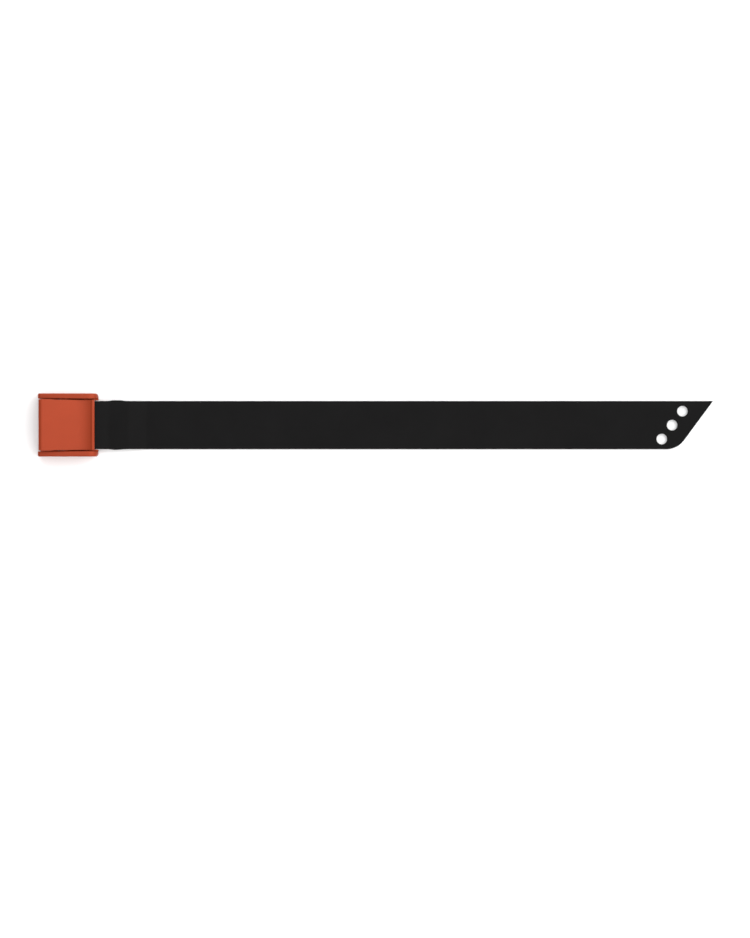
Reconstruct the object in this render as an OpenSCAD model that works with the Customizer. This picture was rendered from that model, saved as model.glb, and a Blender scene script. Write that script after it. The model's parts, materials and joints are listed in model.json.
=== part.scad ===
// Cam-buckle strap: a coated webbing strap with a spring-loaded cam buckle on its folded end.
// Millimetres. X runs along the strap, from the buckle to the strap's point, Y across it and Z up.
// The origin is under the middle of the whole strap, on the surface that it lies on.

/* [Strap] */
// Length from the buckle's entry end to the strap's point
overall_len = 350; // [150:10:1000]
// Width of the strap
strap_w = 25; // [23:0.5:25.5]
// Thickness of the coated strap
strap_t = 1.8; // [1.5:0.1:1.9]
// Width of the woven core inside the coating
core_w = 22; // [18:0.5:22.5]
// Thickness of the woven core
core_t = 0.8; // [0.6:0.1:1]
// Length of the weld that holds the folded end
weld_len = 9.1; // [6:0.5:14]
// How far the melted coating stands out of each edge at the weld
weld_bulge = 0.4; // [0.1:0.1:0.6]

/* [Point] */
// Angle between the slanting end and the strap's length
point_angle = 53.5; // [45:0.5:65]
// Radius of the blunt corner of the slanting end
point_r = 11.5; // [4:0.5:16]
// Diameter of the punched holes
hole_d = 5.6; // [4:0.1:6.5]
// Distance from one hole to the next
hole_pitch = 9; // [8:0.5:9.5]
// Distance from the slanting end to the row of holes
hole_setback = 9.6; // [6:0.2:14]

/* [Buckle frame] */
// Length of the frame
frame_len = 31.1; // [31:0.1:34]
// Width over the two cheeks
frame_w = 32.7; // [32.5:0.1:34]
// Height of the cheeks
frame_h = 13; // [12.5:0.1:14]
// Thickness of each cheek
cheek_t = 2.7; // [2.4:0.1:2.8]
// Thickness of the base plate that the cam presses the strap against
base_t = 1.6; // [1.4:0.1:1.7]

/* [Cam lever] */
// Width of the lever's plate
lever_w = 26.2; // [25:0.1:26.3]
// Thickness of the lever's plate
lever_t = 2; // [1.6:0.1:2.2]
// How far the lever's lip dips towards the strap while the buckle is empty, in degrees
lever_lean = 14; // [12:0.5:15]
// Diameter of the pivot pin
pivot_d = 3; // [2.6:0.1:3]
// Diameter of the bar that the strap is folded round
bar_d = 2.5; // [2.2:0.1:2.6]

/* [Hidden] */
$fn = 96;
eps = 0.02;

// Places along the buckle, from its entry end
entry_x = -overall_len / 2;
tip_x = overall_len / 2;
pivot_x = entry_x + 13.9;
bar_x = entry_x + 24.2;
weld_x = entry_x + 36.1;
fold_x = weld_x + weld_len;
drop_x = fold_x + 1.5;
land_x = fold_x + 10.5;
flat_x = fold_x + 14;

// Heights
pivot_z = 9;
loop_gap = 0.1;
floor_gap = 0.25;
loop_r = bar_d / 2 + loop_gap + strap_t / 2;
bar_z = loop_r + strap_t / 2 + floor_gap;
layer_gap = 0.04;
seal = 1;
bead_inset = 0.3;
low_z = strap_t / 2;
high_z = low_z + strap_t + layer_gap;

// Bends of the strap: up from the ground, onto the weld, and down to the ground again
lift_r = 40;
weld_r = 12;
drop_r = 9;

// Shapes that only limit others: how far they run past the point, and their height
past = 1;
cut_h = 12;

// Frame: its base plate stands clear of the strap that runs back beneath it
base_z = strap_t + 0.2;
base_top = base_z + base_t;
gap_w = frame_w - 2 * cheek_t;
base_x0 = 0.8;
base_x1 = 19.6;
entry_r = 1.4;
rear_r = 5;
rear_plan_r = 1.4;
boss_h = 0.5;
pivot_boss_r = 2.7;
groove_depth = 0.35;
groove_x = pivot_x + 1;
groove_pitch = 0.8;
groove_count = 6;
groove_margin = 1;
guide_x0 = 19.2;
guide_z0 = 0.5;
guide_top = 8;
guide_gap = 0.25;

// Cam lever, in its own frame: u along the plate and v up, from the pivot
lever_u0 = -14.55;
lever_u1 = 14.5;
plate_v = 2.7;
sweep_r = 14;
sweep_angle = 30;
lip_r = 1.15;
roll_r = 1.8;
plate_r = 0.8;
flare = 0.25;
flare_u0 = lever_u0 + 5.5;
flare_u1 = lever_u0 + 9;
sweep_u = lever_u1 - lip_r - (sweep_r + lever_t / 2) * sin(sweep_angle);
sweep_v = plate_v + lever_t + sweep_r;
hub_r = 3.1;
hub_w = 19.8;
neck_w = 4.6;
running_gap = 0.05;
nose_gap = 0.25;
tooth_angles = [25, 31, 37];
tooth_cut = [0.15, 0.7];
nose_front = [-0.5, 0.9];
nose_back = [0.75, 0.9];
nose_reach = pivot_z - base_top - nose_gap;

// Lever stops on the cheeks, just under the sweep of the lever at rest
stop_r = 1.1;
stop_gap = 0.1;
sweep_x = pivot_x + sweep_u * cos(lever_lean) + sweep_v * sin(lever_lean);
sweep_z = pivot_z - sweep_u * sin(lever_lean) + sweep_v * cos(lever_lean);
stop_z = sweep_z - sweep_r - lever_t - stop_r - stop_gap;

// Pins
pin_recess = 0.1;
pin_chamfer = 0.3;

// Torsion springs
wire_d = 0.7;
coil_r = 2.05;
coil_pitch = 0.8;
coil_y = 10.35;
leg_a_angle = 89.5 - lever_lean;
leg_a_len = 6.6;
leg_b_len = 3.2;
leg_gap = 0.05;
leg_wall = 1.2;
leg_b_y = frame_w / 2 - leg_wall - 2 * leg_gap;
wire_sides = 6;
coil_steps = 16;

// ---------- Shared shapes ----------

function unit(v) = v / norm(v);
function arc(c, r, a0, a1, n) = [for (i = [0:n]) let (a = a0 + (a1 - a0) * i / n) c + r * [cos(a), sin(a)]];
// Angle on a circle at which the tangent to point q leaves it, on the side that sign gives
function tangent_angle(c, r, q, sign) =
    atan2(q[1] - c[1], q[0] - c[0]) + sign * acos(r / norm(q - c));
// Points of the arc of radius r that rounds the corner b of the line a, b, c
function corner(a, b, c, r, n = 8) =
    let (u = unit(a - b), v = unit(c - b), half = acos(u * v) / 2,
         m = b + unit(u + v) * r / sin(half), p = b + u * r / tan(half), q = b + v * r / tan(half),
         a0 = atan2(p[1] - m[1], p[0] - m[0]), d = atan2(q[1] - m[1], q[0] - m[0]) - a0,
         turn = d > 180 ? d - 360 : d < -180 ? d + 360 : d)
    arc(m, r, a0, a0 + turn, n);
function tangents(p) = [for (i = [0:len(p) - 1]) unit(p[min(i + 1, len(p) - 1)] - p[max(i - 1, 0)])];

// Outline of a ribbon of thickness t along the line p
module ribbon(p, t) {
    d = tangents(p);
    n = len(p);
    above = [for (i = [0:n - 1]) p[i] + t / 2 * [-d[i][1], d[i][0]]];
    below = [for (i = [n - 1:-1:0]) p[i] - t / 2 * [-d[i][1], d[i][0]]];
    polygon(concat(above, below));
}

// Extrudes an outline drawn in X and Z along Y, centred on the strap's middle
module across(w) {
    rotate([90, 0, 0]) linear_extrude(height = w, center = true) children();
}

// Places children at a point of the X-Z plane
module at(x, z) {
    translate([x, 0, z]) children();
}

// Cylinder along Y
module rod(r, w) {
    rotate([90, 0, 0]) cylinder(r = r, h = w, center = true);
}

// What a rounded outside corner at the origin takes off a shape that fills x > 0, y > 0
module corner_cut(r) {
    difference() {
        translate([-eps, -eps]) square([r + eps, r + eps]);
        translate([r, r]) circle(r);
    }
}

// ---------- Strap ----------

// Middle line of the strap: from the cut end of the fold, round the bar and along to the point.
// It starts short of the cut end by the length given.
function strap_line(short = 0) =
    let (c = [bar_x, bar_z],
         low = [weld_x, low_z], high = [weld_x, high_z],
         a_low = tangent_angle(c, loop_r, low, -1), a_high = tangent_angle(c, loop_r, high, 1),
         leave = c + loop_r * [cos(a_high), sin(a_high)], meet = c + loop_r * [cos(a_low), sin(a_low)],
         drop = [drop_x, high_z], land = [land_x, low_z],
         start = [fold_x - short, low_z], finish = [tip_x + past, low_z])
    concat([start],
           corner(start, low, meet, lift_r, 3),
           arc(c, loop_r, a_low, a_high - 360, 24),
           corner(leave, high, drop, weld_r),
           corner(high, drop, land, drop_r),
           corner(drop, land, finish, drop_r),
           [finish]);

// Outline of the strap seen from above, with its slanting end and punched holes
module strap_plan(w) {
    slant = [cos(point_angle), sin(point_angle)];
    blunt = [tip_x - strap_w / tan(point_angle), -strap_w / 2];
    sharp = [tip_x, strap_w / 2];
    middle = (blunt + sharp) / 2 + hole_setback / slant[1] * [-1, 0];
    difference() {
        intersection() {
            polygon(concat([[entry_x, -strap_w / 2]],
                           corner([entry_x, -strap_w / 2], blunt, sharp, point_r, 24),
                           [sharp, [entry_x, strap_w / 2]]));
            translate([entry_x, -w / 2]) square([overall_len, w]);
        }
        for (i = [-1:1]) translate(middle + i * hole_pitch * slant) circle(d = hole_d);
    }
}

// Limits a shape to the strap's outline
module cut_to_plan(w) {
    intersection() {
        children();
        translate([0, 0, -past]) linear_extrude(height = cut_h) strap_plan(w);
    }
}

// Coating that the weld has squeezed out of one edge, a little shorter and thinner than the weld
module weld_bead() {
    half = weld_len / 2 - bead_inset;
    r = (half * half + weld_bulge * weld_bulge) / (2 * weld_bulge);
    intersection() {
        translate([weld_x + weld_len / 2, strap_w / 2 + weld_bulge - r, bead_inset])
            cylinder(r = r, h = high_z + strap_t / 2 - 2 * bead_inset);
        translate([weld_x, strap_w / 2 - 1, 0]) cube([weld_len, 3, cut_h]);
    }
}

// Keeps the part of a shape that lies between two places along the strap
module between(x0, x1) {
    intersection() {
        children();
        translate([x0, -strap_w, -past]) cube([x1 - x0, 2 * strap_w, cut_h]);
    }
}

// Coating of the part that lies flat, with the point and its holes
module strap_coating() {
    color([0.09, 0.09, 0.095]) difference() {
        between(flat_x, tip_x + past) cut_to_plan(strap_w) across(strap_w) ribbon(strap_line(), strap_t);
        across(core_w) ribbon(strap_line(seal), core_t);
    }
}

// Coating of the part that is folded round the bar and welded, up to where the strap lies flat
module fold_coating() {
    color([0.09, 0.09, 0.095]) difference() {
        union() {
            between(entry_x, flat_x) across(strap_w) ribbon(strap_line(), strap_t);
            translate([weld_x, -strap_w / 2, low_z]) cube([weld_len, strap_w, high_z - low_z]);
            weld_bead();
            mirror([0, 1, 0]) weld_bead();
        }
        across(core_w) ribbon(strap_line(seal), core_t);
    }
}

module strap_core() {
    color([0.2, 0.2, 0.21]) cut_to_plan(core_w) across(core_w) ribbon(strap_line(seal), core_t);
}

// ---------- Buckle ----------

// One cheek seen from the side, from the entry end, with its corners rounded
module cheek_outline() {
    difference() {
        square([frame_len, frame_h]);
        corner_cut(entry_r);
        translate([0, frame_h]) mirror([0, 1]) corner_cut(entry_r);
        translate([frame_len, 0]) mirror([1, 0]) corner_cut(rear_r);
        translate([frame_len, frame_h]) mirror([1, 0]) mirror([0, 1]) corner_cut(rear_r);
    }
}

// The cheek on the +Y side
module cheek() {
    difference() {
        translate([entry_x, frame_w / 2, 0])
            rotate([90, 0, 0]) linear_extrude(height = cheek_t) cheek_outline();
        translate([entry_x + frame_len, frame_w / 2, -1])
            rotate(180) linear_extrude(height = frame_h + 2) corner_cut(rear_plan_r);
    }
}

// Raised ring round the pivot pin on the inner face of the +Y cheek
module boss() {
    translate([pivot_x, gap_w / 2 + eps, pivot_z])
        rotate([90, 0, 0]) cylinder(r = pivot_boss_r, h = boss_h + eps);
}

// Guide beside the strap on the inner face of the +Y cheek, with the lever's stop on top of it
module guide() {
    depth = (gap_w - strap_w) / 2 - guide_gap;
    translate([entry_x, gap_w / 2 + eps, 0]) rotate([90, 0, 0]) linear_extrude(height = depth + eps)
        intersection() {
            cheek_outline();
            union() {
                translate([guide_x0, guide_z0]) square([frame_len - guide_x0, guide_top - guide_z0]);
                translate([sweep_x - entry_x, stop_z]) circle(stop_r);
            }
        }
}

// Base plate with a rounded entry edge and grooves that the strap is pressed into
module base_plate() {
    difference() {
        union() {
            translate([entry_x + base_x0 + base_t / 2, -gap_w / 2 - eps, base_z])
                cube([base_x1 - base_x0 - base_t / 2, gap_w + 2 * eps, base_t]);
            at(entry_x + base_x0 + base_t / 2, base_z + base_t / 2) rod(base_t / 2, gap_w + 2 * eps);
        }
        for (i = [0:groove_count - 1])
            at(groove_x + groove_pitch * i, base_top) rotate([0, 45, 0])
                cube([groove_depth, gap_w - 2 * groove_margin, groove_depth], center = true);
    }
}

module buckle_frame() {
    color([0.75, 0.34, 0.24]) difference() {
        union() {
            base_plate();
            for (side = [0, 1]) mirror([0, side, 0]) {
                cheek();
                boss();
                guide();
            }
        }
        at(pivot_x, pivot_z) rod(pivot_d / 2, frame_w + 2);
        at(bar_x, bar_z) rod(bar_d / 2, frame_w + 2);
        at(pivot_x - leg_b_len, pivot_z - coil_r) rod(wire_d / 2 + leg_gap, frame_w - 2 * leg_wall);
    }
}

// Side view of the lever's plate: rolled off at the entry end, swept up to a lip at the other
module plate_outline() {
    top_v = plate_v + lever_t;
    difference() {
        translate([lever_u0, plate_v]) square([sweep_u - lever_u0 + eps, lever_t]);
        translate([lever_u0, top_v]) mirror([0, 1]) corner_cut(roll_r);
    }
    translate([sweep_u, sweep_v]) {
        intersection() {
            difference() {
                circle(sweep_r + lever_t);
                circle(sweep_r);
            }
            polygon([[0, 0], [0, -2 * sweep_r], 2 * sweep_r * [sin(sweep_angle), -cos(sweep_angle)]]);
        }
        rotate(sweep_angle) translate([0, -sweep_r - lever_t / 2]) circle(lip_r);
    }
}

// Plate seen from above: a little wider at the entry end, with rounded corners
module plate_plan() {
    w = lever_w / 2;
    half = concat(corner([lever_u1, 0], [lever_u1, w], [0, w], plate_r, 6),
                  [[flare_u1, w], [flare_u0, w + flare]],
                  corner([0, w + flare], [lever_u0, w + flare], [lever_u0, 0], plate_r, 6));
    polygon(concat(half, [for (i = [len(half) - 1:-1:0]) [half[i][0], -half[i][1]]]));
}

// Hub and toothed nose of the cam, seen from the side
module cam_outline() {
    tips = [for (a = tooth_angles) nose_reach / cos(a) * [sin(a + lever_lean), -cos(a + lever_lean)]];
    front = tips[0] + nose_front;
    back = tips[2] + nose_back;
    front_angle = tangent_angle([0, 0], hub_r, front, -1);
    back_angle = tangent_angle([0, 0], hub_r, back, 1);
    circle(hub_r);
    translate([-neck_w / 2, 0]) square([neck_w, plate_v + lever_t / 2]);
    polygon([hub_r * [cos(front_angle), sin(front_angle)], front, tips[0], tips[0] + tooth_cut, tips[1],
             tips[1] + tooth_cut, tips[2], back, hub_r * [cos(back_angle), sin(back_angle)]]);
}

module cam_lever() {
    color([0.75, 0.34, 0.24]) at(pivot_x, pivot_z) rotate([0, lever_lean, 0]) difference() {
        union() {
            intersection() {
                across(lever_w + 2) plate_outline();
                linear_extrude(height = cut_h) plate_plan();
            }
            across(hub_w) cam_outline();
        }
        rod(pivot_d / 2 + running_gap, hub_w + 2);
    }
}

// Steel pin of diameter d with chamfered ends, just inside the cheeks' outer faces
module pin(d) {
    r = d / 2;
    h = frame_w / 2 - pin_recess;
    c = pin_chamfer;
    rotate([90, 0, 0]) rotate_extrude()
        polygon([[0, -h], [r - c, -h], [r, -h + c], [r, h - c], [r - c, h], [0, h]]);
}

module pivot_pin() {
    color("silver") at(pivot_x, pivot_z) pin(pivot_d);
}

module strap_bar() {
    color("silver") at(bar_x, bar_z) pin(bar_d);
}

// ---------- Springs ----------

// Middle line of the spring on the +Y side: lever leg, coil, frame leg and its end in the cheek
function spring_line() =
    let (turned = leg_a_angle + 90 + 720, n = round(turned / 360 * coil_steps),
         start = coil_r * [cos(leg_a_angle), sin(leg_a_angle)]
                 + leg_a_len * [-sin(leg_a_angle), cos(leg_a_angle)],
         end_y = coil_y + coil_pitch * turned / 360, bend = 0.5)
    concat([[start[0], coil_y, start[1]]],
           [for (i = [0:n]) let (a = leg_a_angle - turned * i / n)
               [coil_r * cos(a), coil_y + (end_y - coil_y) * i / n, coil_r * sin(a)]],
           [for (a = [0:30:90]) [bend - leg_b_len - bend * sin(a), end_y + bend - bend * cos(a), -coil_r]],
           [[-leg_b_len, leg_b_y, -coil_r]]);

// A wire swept along the points p, as one closed polyhedron
module wire(p) {
    n = len(p);
    d = tangents(p);
    side = [for (i = [0:n - 1]) let (s = cross(d[i], [0, 1, 0]), l = norm(s))
        l < 0.05 ? [0, 0, -1] : s / l];
    points = [for (i = [0:n - 1]) for (k = [0:wire_sides - 1])
        let (a = 360 * k / wire_sides)
        p[i] + wire_d / 2 * (cos(a) * side[i] + sin(a) * cross(d[i], side[i]))];
    around = [for (i = [0:n - 2]) for (k = [0:wire_sides - 1])
        let (j = (k + 1) % wire_sides, a = i * wire_sides)
        [a + k, a + wire_sides + k, a + wire_sides + j, a + j]];
    polyhedron(points, concat([[for (k = [0:wire_sides - 1]) k]], around,
        [[for (k = [wire_sides - 1:-1:0]) (n - 1) * wire_sides + k]]), convexity = 6);
}

module spring_left() {
    color([0.7, 0.7, 0.72]) at(pivot_x, pivot_z) wire(spring_line());
}

module spring_right() {
    color([0.7, 0.7, 0.72]) mirror([0, 1, 0]) at(pivot_x, pivot_z) wire(spring_line());
}

strap_coating();
fold_coating();
strap_core();
buckle_frame();
cam_lever();
pivot_pin();
strap_bar();
spring_left();
spring_right();
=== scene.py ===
import json
import math

import bmesh
import bpy
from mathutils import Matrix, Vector, noise


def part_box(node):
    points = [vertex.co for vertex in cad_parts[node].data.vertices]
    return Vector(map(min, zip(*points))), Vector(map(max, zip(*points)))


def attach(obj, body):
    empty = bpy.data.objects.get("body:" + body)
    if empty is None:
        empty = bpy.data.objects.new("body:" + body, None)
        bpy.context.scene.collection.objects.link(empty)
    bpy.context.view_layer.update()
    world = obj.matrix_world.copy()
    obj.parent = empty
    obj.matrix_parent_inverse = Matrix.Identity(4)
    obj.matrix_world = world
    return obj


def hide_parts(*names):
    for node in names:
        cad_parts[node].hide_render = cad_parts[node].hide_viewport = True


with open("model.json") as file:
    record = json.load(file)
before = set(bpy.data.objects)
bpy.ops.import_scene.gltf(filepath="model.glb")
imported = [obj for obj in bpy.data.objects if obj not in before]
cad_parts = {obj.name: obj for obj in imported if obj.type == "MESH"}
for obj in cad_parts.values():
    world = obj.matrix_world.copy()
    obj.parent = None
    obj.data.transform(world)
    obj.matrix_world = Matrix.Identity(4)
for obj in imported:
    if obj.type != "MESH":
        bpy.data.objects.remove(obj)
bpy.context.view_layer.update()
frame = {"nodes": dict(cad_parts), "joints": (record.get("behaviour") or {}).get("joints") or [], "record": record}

MM = 0.001

# ---------- What the frame says ----------

joints = {j["name"]: j for j in frame["joints"]}
mounts = {m["name"]: m for m in frame["record"]["mounts"]}
PIVOT = Vector(joints["lever_release"]["pos_m"])
BAR = Vector(joints["buckle_tilt"]["pos_m"])
hole_mounts = [mounts["point_hole_" + side] for side in ("blunt_side", "middle", "sharp_side")]
HOLES = [Vector(m["pos_m"]) for m in hole_mounts]
HOLE_R = hole_mounts[0]["dims"]["r_mm"] * MM
STRAP_T = hole_mounts[0]["dims"]["length_mm"] * MM
frame_lo, frame_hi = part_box("buckle_frame")
core_lo, core_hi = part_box("strap_core")
bar_lo, bar_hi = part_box("strap_bar")
pin_lo, pin_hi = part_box("pivot_pin")
ENTRY_X = frame_lo.x
TIP_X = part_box("strap_coating")[1].x
BAR_R = (bar_hi.x - bar_lo.x) / 2
PIVOT_R = (pin_hi.x - pin_lo.x) / 2

# ---------- Sizes: the CAD's, with finer rims and roundings ----------

# Strap
STRAP_W = 25 * MM
STRAP_EDGE_R = 0.6 * MM
STRAP_SHOULDER = 0.1 * MM
CORE_T = 0.8 * MM
CORE_W = core_hi.y - core_lo.y
WELD_X = ENTRY_X + 36.1 * MM
WELD_LEN = 9.1 * MM
WELD_BULGE = 0.4 * MM
LAYER_GAP = 0.04 * MM
LOOP_R = BAR_R + 0.1 * MM + STRAP_T / 2
LOW_Z = STRAP_T / 2
HIGH_Z = LOW_Z + STRAP_T + LAYER_GAP
FOLD_X = WELD_X + WELD_LEN
DROP_X = FOLD_X + 1.5 * MM
LAND_X = FOLD_X + 10.5 * MM
LIFT_R = 40 * MM
WELD_R = 12 * MM
DROP_R = 9 * MM
POINT_R = 11.5 * MM
PAST_POINT = 1 * MM

# Buckle frame. The overlaps are how far a piece runs into the cheeks that it is joined to
CHEEK_T = 2.7 * MM
GAP_HALF = frame_hi.y - CHEEK_T
BASE_T = 1.6 * MM
BASE_Z = STRAP_T + 0.2 * MM
BASE_X0 = ENTRY_X + 0.8 * MM
BASE_X1 = ENTRY_X + 19.6 * MM
BASE_OVERLAP = 0.6 * MM
GROOVE_X = PIVOT.x + 1 * MM
GROOVE_PITCH = 0.8 * MM
GROOVE_COUNT = 6
GROOVE_DEPTH = 0.25 * MM
ENTRY_R = 1.4 * MM
REAR_R = 5 * MM
REAR_PLAN_R = 1.4 * MM
CHEEK_INNER_RIM = 0.3 * MM
CHEEK_OUTER_RIM = 0.7 * MM
BOSS_H = 0.5 * MM
PIVOT_BOSS_R = 2.7 * MM
DISC_RIM = 0.12 * MM
GUIDE_X0 = ENTRY_X + 19.2 * MM
GUIDE_Z0 = 0.5 * MM
GUIDE_TOP = 8 * MM
GUIDE_Y = STRAP_W / 2 + 0.25 * MM
GUIDE_OVERLAP = 0.3 * MM
STOP_R = 1.1 * MM
STOP_GAP = 0.1 * MM
BORE_CHAMFER = 0.15 * MM

# Cam lever, in its own frame: u along its plate and v up, from the pivot
LEAN = math.radians(14)
LEVER_U0 = -14.55 * MM
LEVER_U1 = 14.5 * MM
LEVER_HALF = 13.1 * MM
LEVER_T = 2 * MM
PLATE_V = 2.7 * MM
SWEEP_R = 14 * MM
SWEEP_ANGLE = 30
LIP_R = 1.15 * MM
ROLL = Vector((1.9, 1.45)) * MM
NOSE_R = 0.45 * MM
PLATE_R = 0.8 * MM
PLATE_RIM = 0.35 * MM
FLARE = 0.25 * MM
FLARE_CUTS = [LEVER_U0 + d * MM for d in (5.5, 6.4, 7.25, 8.1, 9)]
HUB_R = 3.1 * MM
HUB_HALF = 9.9 * MM
NECK_HALF = 2.3 * MM
CAM_RIM = 0.12 * MM
RUNNING_GAP = 0.05 * MM
TOOTH_ANGLES = (25, 31, 37)
NOSE_GAP = 0.25 * MM
NOSE_REACH = PIVOT.z - BASE_Z - BASE_T - NOSE_GAP

# Springs. Leg A lies under the lever's plate, and leg B goes into the cheek
WIRE_R = 0.35 * MM
COIL_R = 2.05 * MM
COIL_PITCH = 0.8 * MM
COIL_Y = 10.35 * MM
LEG_A_ANGLE = 89.5 - math.degrees(LEAN)
LEG_A_LEN = 6.6 * MM
LEG_B_LEN = 3.2 * MM
LEG_B_Y = frame_hi.y - 1.3 * MM
LEG_BEND = 0.5 * MM


# ---------- Camera ----------

# The width that it sees at the height of the floor
FRAME_WIDTH = 389.65 * MM
CAMERA_HEIGHT = 3.0
CAMERA_AIM = Vector((-0.5 * MM, -22.8 * MM, 0))


def make_camera():
    """Looks straight down on the strap, which lies in the upper half of the picture."""
    data = bpy.data.cameras.new("camera")
    data.sensor_fit = "HORIZONTAL"
    data.sensor_width = 36
    data.lens = data.sensor_width * CAMERA_HEIGHT / FRAME_WIDTH
    data.clip_start = 0.01
    camera = bpy.data.objects.new("camera", data)
    camera.location = CAMERA_AIM + Vector((0, 0, CAMERA_HEIGHT))
    bpy.context.scene.collection.objects.link(camera)
    bpy.context.scene.camera = camera


make_camera()


# ---------- Outlines ----------

def on_circle(centre, r, degrees):
    a = math.radians(degrees)
    return Vector(centre) + r * Vector((math.cos(a), math.sin(a)))


def arc(centre, r, a0, a1, n):
    return [on_circle(centre, r, a0 + (a1 - a0) * i / n) for i in range(n + 1)]


def angle_of(v):
    return math.degrees(math.atan2(v[1], v[0]))


def tangent_angle(centre, r, point, sign):
    """Angle on a circle where the tangent that reaches point leaves it."""
    to = Vector(point) - Vector(centre)
    return angle_of(to) + sign * math.degrees(math.acos(r / to.length))


def corner(a, b, c, r, n=8):
    """Arc of radius r that rounds the corner b of the line a, b, c."""
    a, b, c = Vector(a), Vector(b), Vector(c)
    u, v = (a - b).normalized(), (c - b).normalized()
    half = u.angle(v) / 2
    middle = b + (u + v).normalized() * r / math.sin(half)
    start, end = b + u * r / math.tan(half), b + v * r / math.tan(half)
    a0, a1 = angle_of(start - middle), angle_of(end - middle)
    turn = (a1 - a0 + 180) % 360 - 180
    return arc(middle, r, a0, a0 + turn, n)


def stations(line, step):
    """The line with points added, so that none are further apart than step."""
    out = [line[0]]
    for a, b in zip(line, line[1:]):
        n = max(1, math.ceil((b - a).length / step))
        out += [a.lerp(b, i / n) for i in range(1, n + 1)]
    return out


def inset(loop, d):
    """A closed outline, counter-clockwise, moved inwards by d."""
    out = []
    for i, p in enumerate(loop):
        before, after = (p - loop[i - 1]).normalized(), (loop[(i + 1) % len(loop)] - p).normalized()
        n1, n2 = Vector((-before.y, before.x)), Vector((-after.y, after.x))
        mid = (n1 + n2).normalized()
        out.append(p + mid * d / max(0.5, mid.dot(n1)))
    return out


# ---------- Meshes ----------

SHARP_ANGLE = math.radians(35)
SAME_POINT = 0.0001 * MM
SLIVER_GAP = 0.002 * MM
SLIVER_EDGE = 0.001 * MM
ROUND_SIDES = 64


def smooth_shade(mesh):
    """Smooth shading, with only the sharper edges left crisp."""
    mesh.shade_smooth()
    mesh.set_sharp_from_angle(angle=SHARP_ANGLE)


def new_object(name, bm):
    """An object with bm as its mesh. bm is freed."""
    bmesh.ops.remove_doubles(bm, verts=bm.verts, dist=SAME_POINT)
    bmesh.ops.recalc_face_normals(bm, faces=bm.faces)
    mesh = bpy.data.meshes.new(name)
    bm.to_mesh(mesh)
    bm.free()
    smooth_shade(mesh)
    obj = bpy.data.objects.new(name, mesh)
    bpy.context.scene.collection.objects.link(obj)
    return obj


def loft(bm, rings):
    """Joins rings of points with quads, and caps both ends."""
    rows = [[bm.verts.new(p) for p in ring] for ring in rings]
    n = len(rows[0])
    for a, b in zip(rows, rows[1:]):
        for i in range(n):
            bm.faces.new((a[i], a[(i + 1) % n], b[(i + 1) % n], b[i]))
    bm.faces.new(rows[0][::-1])
    bm.faces.new(rows[-1])


def upright(p, across):
    """A point of a side view in X and Z, and how far across, as a position."""
    return Vector((p.x, across, p.y))


def slab(bm, outline, place, half, r_low, r_high, steps=5):
    """An outline given width: from -half to +half, with its two rims rounded by r_low and r_high.
    place turns a point of the outline, and how far across, into a position."""
    rings = []
    for side, r in ((-1, r_low), (1, r_high)):
        for k in range(steps + 1):
            turn = math.pi / 2 * (k if side > 0 else steps - k) / steps
            across = side * (half - r + r * math.sin(turn))
            rings.append([place(p, across) for p in inset(outline, r * (1 - math.cos(turn)))])
    loft(bm, rings)


def bore_cutter(bm, axis, r, half):
    """Cylinder along Y round axis, which widens at both ends to cut the bore's chamfers."""
    c = BORE_CHAMFER
    rings = []
    for y, radius in ((-half - c, r + 2 * c), (-half + c, r), (half - c, r), (half + c, r + 2 * c)):
        rings.append([upright(p, y) for p in arc((axis.x, axis.z), radius, 0, 360, ROUND_SIDES)[:-1]])
    loft(bm, rings)


def cut_across(bm, x):
    """Adds edges where the plane at x crosses the mesh."""
    everything = bm.verts[:] + bm.edges[:] + bm.faces[:]
    bmesh.ops.bisect_plane(bm, geom=everything, plane_co=(x, 0, 0), plane_no=(1, 0, 0))


def boolean(obj, cutter, operation="DIFFERENCE"):
    """Cuts the cutter away from obj, or joins it on, then removes the cutter and cleans up slivers."""
    modifier = obj.modifiers.new("cut", "BOOLEAN")
    modifier.operation = operation
    modifier.object = cutter
    modifier.solver = "EXACT"
    depsgraph = bpy.context.evaluated_depsgraph_get()
    mesh = bpy.data.meshes.new_from_object(obj.evaluated_get(depsgraph))
    obj.modifiers.clear()
    obj.data = mesh
    bpy.data.objects.remove(cutter)
    bm = bmesh.new()
    bm.from_mesh(mesh)
    bmesh.ops.remove_doubles(bm, verts=bm.verts, dist=SLIVER_GAP)
    bmesh.ops.dissolve_degenerate(bm, edges=bm.edges, dist=SLIVER_EDGE)
    bm.to_mesh(mesh)
    bm.free()
    smooth_shade(mesh)


def finish_piece(obj, body, slot, material, *nodes):
    """Gives a piece its material and its body, and hides the CAD nodes that it stands for."""
    obj.data.materials.clear()
    obj.data.materials.append(material)
    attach(obj, body)
    if nodes:
        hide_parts(*nodes)


# ---------- Materials ----------

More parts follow.
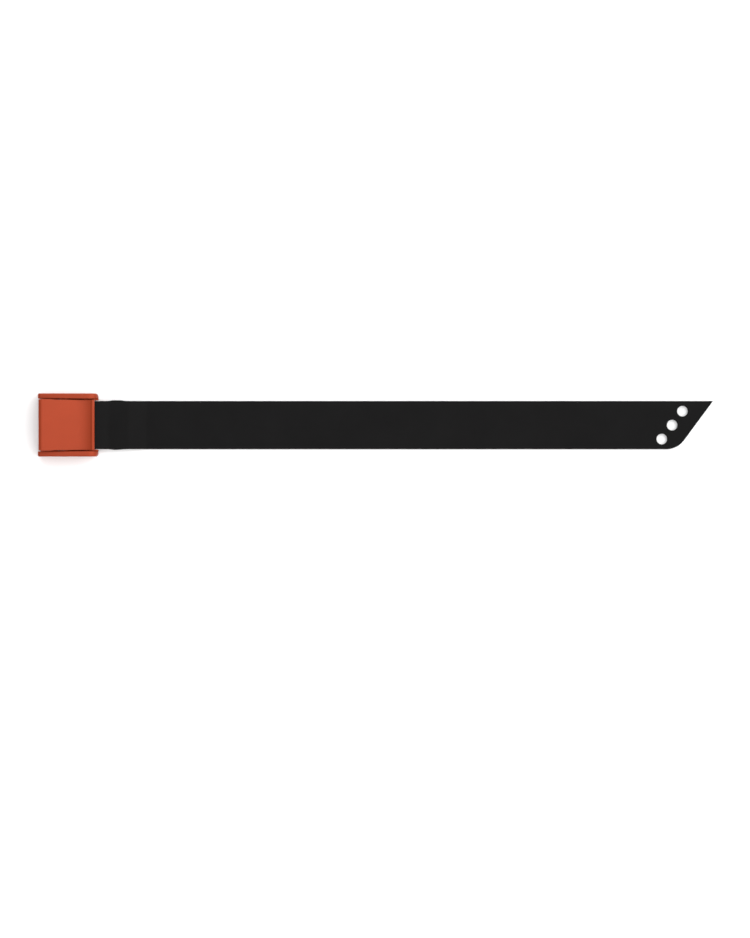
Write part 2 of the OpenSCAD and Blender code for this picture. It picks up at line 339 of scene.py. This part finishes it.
class Nodes:
    """A node material under construction: each call adds one node and links its inputs."""

    def __init__(self, name):
        self.material = bpy.data.materials.new(name)
        self.material.use_nodes = True
        self.tree = self.material.node_tree
        self.shader = self.tree.nodes["Principled BSDF"]
        self.coords = self.tree.nodes.new("ShaderNodeTexCoord").outputs["Object"]

    def add(self, kind, inputs=None, **settings):
        node = self.tree.nodes.new("ShaderNode" + kind)
        for key, value in settings.items():
            setattr(node, key, value)
        for key, value in (inputs or {}).items():
            self.put(node.inputs[key], value)
        return node

    def put(self, socket, value):
        if isinstance(value, bpy.types.NodeSocket):
            self.tree.links.new(value, socket)
        else:
            socket.default_value = value

    def set(self, **values):
        for key, value in values.items():
            self.put(self.shader.inputs[key.replace("_", " ")], value)

    def scaled(self, x, y, z):
        return self.add("Mapping", {"Vector": self.coords, "Scale": (x, y, z)}).outputs[0]

    def noise(self, scale, detail=2, vector=None):
        inputs = {"Vector": vector or self.coords, "Scale": scale, "Detail": detail, "Roughness": 0.55}
        return self.add("TexNoise", inputs).outputs["Fac"]

    def spread(self, value, low, high):
        """Turns a noise value into one that runs from low to high."""
        inputs = {"Value": value, "From Min": 0.3, "From Max": 0.7, "To Min": low, "To Max": high}
        return self.add("MapRange", inputs).outputs[0]

    def mix(self, factor, a, b):
        """A colour from a to b. The numbers are the node's sockets for colours."""
        node = self.add("Mix", data_type="RGBA")
        self.put(node.inputs[0], factor)
        self.put(node.inputs[6], a)
        self.put(node.inputs[7], b)
        return node.outputs[2]

    def math(self, operation, a, b=0.0):
        node = self.add("Math", operation=operation)
        self.put(node.inputs[0], a)
        self.put(node.inputs[1], b)
        return node.outputs[0]

    def bump(self, height, strength, distance, normal=None):
        inputs = {"Height": height, "Strength": strength, "Distance": distance}
        if normal is not None:
            inputs["Normal"] = normal
        return self.add("Bump", inputs).outputs[0]


def anodised():
    """Bead-blasted aluminium, anodised red-orange: a fine even grain under a thin clear oxide."""
    m = Nodes("anodised")
    blast = m.noise(5200, 3)
    patches = m.noise(140, 2)
    darker, lighter = (0.268, 0.0285, 0.0034, 1), (0.280, 0.0297, 0.0038, 1)
    colour = m.mix(m.spread(patches, 0, 1), darker, lighter)
    m.set(Base_Color=colour, Metallic=0.5, Roughness=m.spread(m.noise(2600, 2), 0.44, 0.49))
    m.set(Normal=m.bump(blast, 0.25, 0.02 * MM))
    m.set(Specular_IOR_Level=0.3, Coat_Weight=0.14, Coat_IOR=1.5, Coat_Roughness=0.3)
    return m.material


def coating():
    """Satin black urethane, with soft orange peel and faint lines along its length."""
    m = Nodes("coating")
    peel = m.noise(1900, 2)
    lines = m.noise(1, 2, m.scaled(60, 1500, 1500))
    normal = m.bump(lines, 0.25, 0.03 * MM)
    normal = m.bump(peel, 0.35, 0.02 * MM, normal)
    darker, lighter = (0.0050, 0.0048, 0.0049, 1), (0.0060, 0.0058, 0.0059, 1)
    colour = m.mix(m.spread(m.noise(45, 3), 0, 1), darker, lighter)
    m.set(Base_Color=colour, Roughness=m.spread(m.noise(300, 3), 0.5, 0.58), Normal=normal)
    m.set(Specular_IOR_Level=0.05)
    return m.material


def webbing():
    """Plain-woven polyester yarns, seen where the strap is cut."""
    m = Nodes("webbing")
    pick, yarn = 0.9 * MM, 0.8 * MM
    split = m.add("SeparateXYZ", {"Vector": m.coords})
    along = m.math("SINE", m.math("MULTIPLY", split.outputs[0], 2 * math.pi / pick))
    across = m.math("SINE", m.math("MULTIPLY", split.outputs[1], 2 * math.pi / yarn))
    weave = m.math("MULTIPLY", along, across)
    fibres = m.noise(9000, 2)
    darker, lighter = (0.045, 0.045, 0.048, 1), (0.11, 0.11, 0.115, 1)
    colour = m.mix(m.spread(fibres, 0, 1), darker, lighter)
    normal = m.bump(weave, 0.6, 0.12 * MM)
    m.set(Base_Color=colour, Roughness=0.8, Normal=m.bump(fibres, 0.4, 0.03 * MM, normal))
    return m.material


def steel(name, grey, roughness, scale):
    """Steel with a fine grain, stretched by scale: on the pins, which lie along Y, it makes rings."""
    m = Nodes(name)
    grain = m.noise(1, 3, m.scaled(*scale))
    darker, lighter = (grey * 0.9, grey * 0.91, grey * 0.93, 1), (grey, grey, grey, 1)
    colour = m.mix(m.spread(grain, 0, 1), darker, lighter)
    m.set(Base_Color=colour, Metallic=1.0, Roughness=m.spread(grain, roughness - 0.06, roughness + 0.06))
    m.set(Normal=m.bump(grain, 0.15, 0.01 * MM))
    return m.material


ANODISED = anodised()
COATING = coating()
WEBBING = webbing()
PIN_STEEL = steel("pin_steel", 0.6, 0.3, (200, 6000, 200))
WIRE_STEEL = steel("wire_steel", 0.12, 0.4, (3000, 3000, 3000))


# ---------- Strap ----------

def smoothstep(x):
    x = min(1, max(0, x))
    return x * x * (3 - 2 * x)


def strap_line(short=0.0):
    """Middle line of the strap in X and Z: from the cut end of the fold, round the bar and to the point.
    short is how far inside the fold's cut end it starts."""
    bar = Vector((BAR.x, BAR.z))
    low, high = Vector((WELD_X, LOW_Z)), Vector((WELD_X, HIGH_Z))
    a_low = tangent_angle(bar, LOOP_R, low, -1)
    a_high = tangent_angle(bar, LOOP_R, high, 1) - 360
    drop, land = Vector((DROP_X, HIGH_Z)), Vector((LAND_X, LOW_Z))
    start, end = Vector((FOLD_X - short, LOW_Z)), Vector((TIP_X + PAST_POINT, LOW_Z))
    line = [start]
    line += corner(start, low, on_circle(bar, LOOP_R, a_low), LIFT_R, 4)
    line += arc(bar, LOOP_R, a_low, a_high, 40)
    line += corner(on_circle(bar, LOOP_R, a_high), high, drop, WELD_R)
    line += corner(high, drop, land, DROP_R)
    line += corner(drop, land, end, DROP_R)
    line.append(end)
    return line


def weld_swell(x, across):
    """How much of the weld's swelling there is at x, from 0 to 1, with a slight ripple.
    It is even along the edge where across is above 0, and a shorter lump along the other."""
    share = (x - WELD_X) / WELD_LEN
    rise, end, fall = (0.25, 1, 0.35) if across > 0 else (0.4, 0.95, 0.55)
    swell = smoothstep(share / rise) * smoothstep((end - share) / fall)
    ripple = noise.noise(Vector((x / MM * 0.9, across, 0.4)))
    return swell * (0.9 + 0.1 * ripple)


def ribbon(bm, line, section, swell):
    """Sweeps a section of (across, up) points along a line in X and Z. Its edges swell at the weld."""
    edge_band = 2 * MM
    rings = []
    for i, p in enumerate(line):
        d = (line[min(i + 1, len(line) - 1)] - line[max(i - 1, 0)]).normalized()
        ring = []
        for across, up in section:
            edge = smoothstep((abs(across) - STRAP_W / 2 + edge_band) / edge_band)
            y = across + math.copysign(swell * weld_swell(p.x, across) * edge, across)
            ring.append(Vector((p.x - up * d.y, y, p.y + up * d.x)))
        rings.append(ring)
    loft(bm, rings)


def strap_section():
    """Cross-section of the strap: flat faces that drop a little at the shoulders, and round edges."""
    half, t = STRAP_W / 2, STRAP_T / 2
    shoulder_from, shoulder_over = 0.83, 0.08
    # Shares of the half width, closer together where the shoulder drops
    side = []
    for share in (0, 0.2, 0.4, 0.6, 0.744, 0.832, 0.864, 0.888, 0.912):
        drop = STRAP_SHOULDER * smoothstep((share - shoulder_from) / shoulder_over)
        side.append(Vector((share * half, t - drop)))
    r = STRAP_EDGE_R
    side += arc((half - r, t - STRAP_SHOULDER - r), r, 90, 0, 6)
    quarter = side[1:]
    right = quarter + [Vector((p.x, -p.y)) for p in reversed(quarter)]
    left = [Vector((-p.x, p.y)) for p in reversed(right)]
    return [Vector((0, t))] + right + [Vector((0, -t))] + left


def core_section():
    y, z = CORE_W / 2, CORE_T / 2
    return [(-y, z), (y, z), (y, -z), (-y, -z)]


def tip_cutter(less=0.0):
    """One cutter for the slanting end and the punched holes. less is how far short of them it cuts."""
    slant = (HOLES[2] - HOLES[0]).normalized()
    run = STRAP_W * slant.x / slant.y
    sharp, blunt = Vector((TIP_X, STRAP_W / 2)), Vector((TIP_X - run, -STRAP_W / 2))
    shift = Vector((slant.y, -slant.x)) * less
    beyond = 3 * MM
    start = Vector((ENTRY_X, -STRAP_W / 2))
    outline = [p + shift for p in corner(start, blunt, sharp, POINT_R, 28)]
    outline.insert(0, outline[0] + Vector((-beyond, 0)))
    outline.insert(0, outline[0] + Vector((0, -beyond)))
    outline.append(sharp + shift + Vector((slant.x, slant.y)) * beyond)
    outline.append(Vector((TIP_X + 2 * beyond, sharp.y + beyond)))
    outline.append(Vector((TIP_X + 2 * beyond, -STRAP_W / 2 - beyond)))
    holes = [arc((hole.x, hole.y), HOLE_R - less, 0, 360, 72)[:-1] for hole in HOLES]
    z_low, z_high = -2 * MM, 4 * MM
    bm = bmesh.new()
    for loop in [outline] + holes:
        loft(bm, [[Vector((p.x, p.y, z)) for p in loop] for z in (z_low, z_high)])
    return new_object("tip_cutter", bm)


def make_strap():
    bm = bmesh.new()
    ribbon(bm, stations(strap_line(), 2 * MM), strap_section(), WELD_BULGE)
    strap = new_object("strap", bm)
    boolean(strap, tip_cutter())
    finish_piece(strap, "strap", "strap_coating", COATING, "strap_coating", "fold_coating")


def make_core():
    """The woven core, sealed in at the fold's end and a hair proud where the strap is cut."""
    inside, proud = 1 * MM, 0.04 * MM
    bm = bmesh.new()
    ribbon(bm, stations(strap_line(inside), 4 * MM), core_section(), 0)
    core = new_object("woven_core", bm)
    boolean(core, tip_cutter(proud))
    finish_piece(core, "strap", "strap_core", WEBBING, "strap_core")


def make_weld():
    """The melted coating between the two layers, squeezed out along both edges."""
    steps, margin = 24, 0.15 * MM
    z_mid, z_half = (LOW_Z + HIGH_Z) / 2, 1.25 * MM
    bead = 0.95 * MM
    rings = []
    for i in range(steps + 1):
        x = WELD_X + margin + (WELD_LEN - 2 * margin) * i / steps
        ring = []
        for side in (1, -1):
            reach = STRAP_W / 2 + WELD_BULGE * (0.15 + 0.85 * weld_swell(x, side))
            for p in arc((0, 0), 1, -90 * side, 90 * side, 12):
                y = side * (reach - bead * (1 - abs(p.x)))
                ring.append(Vector((x, y, z_mid + z_half * p.y)))
        rings.append(ring)
    bm = bmesh.new()
    loft(bm, rings)
    weld = new_object("weld", bm)
    finish_piece(weld, "strap", "strap_coating", COATING)


make_strap()
make_core()
make_weld()


# ---------- Lever's own frame: u along its plate and v up, from the pivot ----------

def lever_place(p, across):
    """A point of the lever's side view, and how far across, as a position. The lever leans at rest."""
    x = PIVOT.x + p.x * math.cos(LEAN) + p.y * math.sin(LEAN)
    z = PIVOT.z - p.x * math.sin(LEAN) + p.y * math.cos(LEAN)
    return Vector((x, across, z))


LIP_RUN = (SWEEP_R + LEVER_T / 2) * math.sin(math.radians(SWEEP_ANGLE))
SWEEP_CENTRE = Vector((LEVER_U1 - LIP_R - LIP_RUN, PLATE_V + LEVER_T + SWEEP_R))


# ---------- Buckle frame ----------

def cheek_outline():
    """Side view of a cheek, counter-clockwise in X and Z."""
    x0, x1, z0, z1 = frame_lo.x, frame_hi.x, frame_lo.z, frame_hi.z
    a, b, c, d = (x0, z0), (x1, z0), (x1, z1), (x0, z1)
    line = corner(d, a, b, ENTRY_R) + corner(a, b, c, REAR_R, 16)
    line += corner(b, c, d, REAR_R, 16) + corner(c, d, a, ENTRY_R)
    return line


def cheek_share(x):
    """The cheek's thickness at x, as a share of its full one. It rounds off in plan at the rear."""
    past = x - (frame_hi.x - REAR_PLAN_R)
    if past <= 0:
        return 1
    drop = REAR_PLAN_R - math.sqrt(max(0, REAR_PLAN_R ** 2 - past ** 2))
    return max(0.12, 1 - drop / CHEEK_T)


def make_cheek(bm, side):
    """One cheek, flat inside and softly rounded outside, with its rear end rounded in plan."""
    middle = CHEEK_T / 2

    def place(p, across):
        return upright(p, GAP_HALF + middle + across)

    piece = bmesh.new()
    slab(piece, cheek_outline(), place, middle, CHEEK_INNER_RIM, CHEEK_OUTER_RIM)
    slices = 12
    for k in range(1, slices):
        cut_across(piece, frame_hi.x - REAR_PLAN_R * k / slices)
    for v in piece.verts:
        v.co.y = side * (GAP_HALF + (v.co.y - GAP_HALF) * cheek_share(v.co.x))
    if side < 0:
        bmesh.ops.reverse_faces(piece, faces=piece.faces[:])
    mesh = bpy.data.meshes.new("cheek")
    piece.to_mesh(mesh)
    piece.free()
    bm.from_mesh(mesh)
    bpy.data.meshes.remove(mesh)


def base_outline():
    """Side view of the base plate: a rounded entry edge, and grooves under the cam."""
    r = BASE_T / 2
    top, depth = BASE_Z + BASE_T, GROOVE_DEPTH
    line = arc((BASE_X0 + r, BASE_Z + r), r, 90, 270, 16)
    line += corner((BASE_X0, BASE_Z), (BASE_X1, BASE_Z), (BASE_X1, top), 0.3 * MM)
    line += corner((BASE_X1, BASE_Z), (BASE_X1, top), (BASE_X0, top), 0.2 * MM)
    for i in reversed(range(GROOVE_COUNT)):
        x = GROOVE_X + GROOVE_PITCH * i
        line += [Vector((x + depth, top)), Vector((x, top - depth)), Vector((x - depth, top))]
    return line


def guide_outline():
    """Side view of the guide beside the strap, which ends with the cheek."""
    x0, x1, top, r = GUIDE_X0, frame_hi.x, GUIDE_TOP, 0.4 * MM
    start = math.degrees(math.asin((GUIDE_Z0 - REAR_R) / REAR_R))
    line = [Vector((x0, GUIDE_Z0))]
    line += arc((x1 - REAR_R, REAR_R), REAR_R, start, 0, 12)
    line += corner((x1, REAR_R), (x1, top), (x0, top), r, 4)
    line += corner((x1, top), (x0, top), (x0, 0), r, 4)
    return line


def disc(bm, x, z, r, y_inner, y_outer):
    """A short round solid from y_inner out to y_outer, with its inner rim rounded."""
    rim, side = DISC_RIM, math.copysign(1, y_outer)
    rings = []
    for short, deep in ((rim, 0), (0.3 * rim, 0.3 * rim), (0, rim), (0, abs(y_outer - y_inner))):
        ring = arc((x, z), r - short, 0, 360, ROUND_SIDES)[:-1]
        rings.append([upright(p, y_inner + side * deep) for p in ring])
    loft(bm, rings)


def make_cheeks():
    bm = bmesh.new()
    for side in (1, -1):
        make_cheek(bm, side)
    return new_object("buckle_body", bm)


def make_base():
    bm = bmesh.new()
    rim = 0.01 * MM
    slab(bm, base_outline(), upright, GAP_HALF + BASE_OVERLAP, rim, rim, 1)
    return new_object("base", bm)


def make_guides():
    bm = bmesh.new()
    rim = 0.15 * MM
    depth = (GAP_HALF + GUIDE_OVERLAP - GUIDE_Y) / 2
    for side in (1, -1):
        middle = side * (GUIDE_Y + depth)
        slab(bm, guide_outline(), lambda p, y: upright(p, middle + y), depth, rim, rim, 3)
    return new_object("guides", bm)


def make_bosses():
    """The rings round the pivot pin, and the round stops that the lever's sweep rests on."""
    bm = bmesh.new()
    stop = lever_place(SWEEP_CENTRE, 0)
    stop_z = stop.z - SWEEP_R - LEVER_T - STOP_R - STOP_GAP
    for side in (1, -1):
        outer = side * (GAP_HALF + GUIDE_OVERLAP)
        disc(bm, PIVOT.x, PIVOT.z, PIVOT_BOSS_R, side * (GAP_HALF - BOSS_H), outer)
        disc(bm, stop.x, stop_z, STOP_R, side * GUIDE_Y, outer)
    return new_object("bosses", bm)


def make_bores():
    bm = bmesh.new()
    bore_cutter(bm, PIVOT, PIVOT_R, frame_hi.y)
    bore_cutter(bm, BAR, BAR_R, frame_hi.y)
    return new_object("bores", bm)


def make_frame():
    body = make_cheeks()
    boolean(body, make_base(), "UNION")
    boolean(body, make_guides(), "UNION")
    boolean(body, make_bosses(), "UNION")
    boolean(body, make_bores())
    finish_piece(body, "buckle", "anodised", ANODISED, "buckle_frame")


make_frame()


# ---------- Cam lever ----------

def plate_outline():
    """Side view of the lever's plate, counter-clockwise: flat, swept up to a lip at the rear and rolled
    off at the entry. Its flat stretches have a point every 2 mm."""
    top = PLATE_V + LEVER_T
    centre = SWEEP_CENTRE
    last = -90 + SWEEP_ANGLE
    lip = on_circle(centre, SWEEP_R + LEVER_T / 2, last)
    meet = math.degrees(math.acos(LEVER_T / 2 / LIP_R))
    back = math.degrees(math.sin(math.radians(meet)) * LIP_R / SWEEP_R)
    line = corner((LEVER_U0, top), (LEVER_U0, PLATE_V), (0, PLATE_V), NOSE_R, 6)
    line += [Vector((u * MM, PLATE_V)) for u in range(-12, 6, 2)]
    line += arc(centre, SWEEP_R + LEVER_T, -90, last - back, 14)
    line += arc(lip, LIP_R, last - meet, last + 180 + meet, 28)
    line += arc(centre, SWEEP_R, last - back, -90, 14)
    line += [Vector((u * MM, top)) for u in range(5, -11, -2)]
    line += [Vector((LEVER_U0, top)) + ROLL * on_circle((1, -1), 1, a) for a in range(90, 181, 9)]
    return line


def plate_half(u):
    """Half the plate's width at a place along it: a slight flare at the entry, and round corners."""
    start, end = FLARE_CUTS[0], FLARE_CUTS[-1]
    width = LEVER_HALF + FLARE * (1 - smoothstep((u - start) / (end - start)))
    near = min(u - LEVER_U0, LEVER_U1 - u)
    if near < PLATE_R:
        width -= PLATE_R - math.sqrt(max(0, PLATE_R ** 2 - (PLATE_R - max(0, near)) ** 2))
    return width


def cam_outline():
    """Side view of the hub and the toothed nose, counter-clockwise from the neck's left side."""
    def tooth_tip(a):
        turned = math.radians(a) + LEAN
        return NOSE_REACH / math.cos(math.radians(a)) * Vector((math.sin(turned), -math.cos(turned)))

    tips = [tooth_tip(a) for a in TOOTH_ANGLES]
    root = Vector((0.15, 0.7)) * MM
    front, rear = tips[0] + Vector((-0.5, 0.9)) * MM, tips[-1] + Vector((0.75, 0.9)) * MM
    neck = math.degrees(math.acos(NECK_HALF / HUB_R))
    neck_top = PLATE_V + 0.5 * MM
    a_front = tangent_angle((0, 0), HUB_R, front, -1) + 360
    a_rear = tangent_angle((0, 0), HUB_R, rear, 1)
    line = [Vector((-NECK_HALF, neck_top))]
    line += arc((0, 0), HUB_R, 180 - neck, a_front, 20)
    line += [front, tips[0], tips[0] + root, tips[1], tips[1] + root, tips[2], rear]
    line += arc((0, 0), HUB_R, a_rear, neck, 8)
    line.append(Vector((NECK_HALF, neck_top)))
    return line


def make_plate():
    """The lever's plate, with cuts across it where its sides follow the round corners and the flare."""
    bm = bmesh.new()
    slab(bm, plate_outline(), upright, LEVER_HALF, PLATE_RIM, PLATE_RIM)
    rounding = [PLATE_R * (1 - math.cos(math.radians(a))) for a in range(10, 91, 10)]
    cuts = [LEVER_U0 + d for d in rounding] + [LEVER_U1 - d for d in rounding] + FLARE_CUTS
    for u in cuts:
        cut_across(bm, u)
    for v in bm.verts:
        y = v.co.y + math.copysign(plate_half(v.co.x) - LEVER_HALF, v.co.y)
        v.co = lever_place(Vector((v.co.x, v.co.z)), y)
    return new_object("lever", bm)


def make_lever():
    lever = make_plate()
    bm = bmesh.new()
    slab(bm, cam_outline(), lever_place, HUB_HALF, CAM_RIM, CAM_RIM, 2)
    boolean(lever, new_object("cam", bm), "UNION")
    bm = bmesh.new()
    bore_cutter(bm, PIVOT, PIVOT_R + RUNNING_GAP, HUB_HALF)
    boolean(lever, new_object("bore", bm))
    finish_piece(lever, "lever", "anodised", ANODISED, "cam_lever")


make_lever()


# ---------- Pins and springs ----------

def wire(name, points, body, *nodes):
    """Round spring wire through the points."""
    curve = bpy.data.curves.new(name, "CURVE")
    curve.dimensions = "3D"
    curve.bevel_depth = WIRE_R
    curve.bevel_resolution = 4
    curve.use_fill_caps = True
    spline = curve.splines.new("POLY")
    spline.points.add(len(points) - 1)
    for point, p in zip(spline.points, points):
        point.co = (*p, 1)
    temporary = bpy.data.objects.new(name, curve)
    bpy.context.scene.collection.objects.link(temporary)
    depsgraph = bpy.context.evaluated_depsgraph_get()
    mesh = bpy.data.meshes.new_from_object(temporary.evaluated_get(depsgraph))
    bpy.data.objects.remove(temporary)
    mesh.shade_smooth()
    obj = bpy.data.objects.new(name, mesh)
    bpy.context.scene.collection.objects.link(obj)
    finish_piece(obj, body, "spring_steel", WIRE_STEEL, *nodes)


def make_spring(side, word):
    """A torsion spring on the pivot pin. Its coil and leg B stay with the frame, and leg A turns with
    the lever. The coil starts a little before leg A's root, which slides along it."""
    def place(q, y):
        return Vector((PIVOT.x + q.x, side * y, PIVOT.z + q.y))

    steps, steps_before = 90, 3
    turned = LEG_A_ANGLE + 90 + 720
    coil_len = COIL_PITCH * turned / 360
    points = []
    for i in range(-steps_before, steps + 1):
        share = i / steps
        q = on_circle((0, 0), COIL_R, LEG_A_ANGLE - turned * share)
        points.append(place(q, COIL_Y + coil_len * max(0, share)))
    for a in range(15, 91, 15):
        turn = math.radians(a)
        q = Vector((-LEG_B_LEN + LEG_BEND * (1 - math.sin(turn)), -COIL_R))
        points.append(place(q, COIL_Y + coil_len + LEG_BEND * (1 - math.cos(turn))))
    points.append(place(Vector((-LEG_B_LEN, -COIL_R)), LEG_B_Y))
    wire("spring_coil_" + word, points, "buckle", "spring_" + word)
    root = on_circle((0, 0), COIL_R, LEG_A_ANGLE)
    along = on_circle((0, 0), 1, LEG_A_ANGLE + 90)
    leg = [place(root + along * LEG_A_LEN * k / 6, COIL_Y) for k in range(7)]
    wire("spring_leg_" + word, leg, "lever")


def finish_pins():
    """The two pins keep their CAD shape."""
    for name in ("pivot_pin", "strap_bar"):
        pin = frame["nodes"][name]
        pin.data.materials.clear()
        pin.data.materials.append(PIN_STEEL)


make_spring(1, "left")
make_spring(-1, "right")
finish_pins()


# ---------- Floor and light ----------

FLOOR_HALF = 4
FLOOR_DROP = 0.02 * MM
ROOM_SLOPE = (0.475, 0.15, 0)
ROOM_STEPS = ((0.2, 0.33), (0.56, 1), (0.75, 1), (0.975, 0.55))
ROOM_POWER = 1.97


def make_floor():
    """A pale matt floor, a hair below the strap so that the two faces don't coincide."""
    bm = bmesh.new()
    bmesh.ops.create_grid(bm, x_segments=1, y_segments=1, size=FLOOR_HALF)
    floor = new_object("floor", bm)
    floor.location.z = -FLOOR_DROP
    m = Nodes("floor")
    darker, lighter = (0.95, 0.95, 0.95, 1), (0.96, 0.96, 0.96, 1)
    m.set(Base_Color=m.mix(m.noise(30, 2), darker, lighter), Roughness=0.9)
    floor.data.materials.append(m.material)


def area_light(name, place, aim, size, power):
    data = bpy.data.lights.new(name, "AREA")
    data.shape = "RECTANGLE"
    data.size, data.size_y = size
    data.energy = power
    light = bpy.data.objects.new(name, data)
    light.location = place
    light.rotation_euler = (Vector(aim) - Vector(place)).to_track_quat("-Z", "Y").to_euler()
    bpy.context.scene.collection.objects.link(light)


def make_world():
    """A pale room. ROOM_SLOPE points to its right side, and ROOM_STEPS gives the grey at places from
    left to right: dim at the left, brightest overhead and a little to the right, and dimmer again."""
    world = bpy.data.worlds.new("studio")
    world.use_nodes = True
    tree = world.node_tree
    coords = tree.nodes.new("ShaderNodeTexCoord")
    side = tree.nodes.new("ShaderNodeVectorMath")
    side.operation = "DOT_PRODUCT"
    side.inputs[1].default_value = ROOM_SLOPE
    middle = tree.nodes.new("ShaderNodeMath")
    middle.inputs[1].default_value = 0.5
    ramp = tree.nodes.new("ShaderNodeValToRGB")
    stops = ramp.color_ramp
    stops.interpolation = "EASE"
    places, greys = zip(*ROOM_STEPS)
    stops.elements[0].position = places[0]
    stops.elements[-1].position = places[-1]
    for place in places[1:-1]:
        stops.elements.new(place)
    for element, grey in zip(stops.elements, greys):
        element.color = (grey, grey, grey, 1)
    background = tree.nodes["Background"]
    background.inputs["Strength"].default_value = ROOM_POWER
    tree.links.new(coords.outputs["Generated"], side.inputs[0])
    tree.links.new(side.outputs["Value"], middle.inputs[0])
    tree.links.new(middle.outputs[0], ramp.inputs[0])
    tree.links.new(ramp.outputs["Color"], background.inputs["Color"])
    bpy.context.scene.world = world


make_floor()
make_world()
area_light("softbox", place=(1.5, 0.8, 1.2), aim=(-0.05, 0, 0), size=(1.3, 1.3), power=14)
bpy.context.scene.view_settings.view_transform = "Standard"
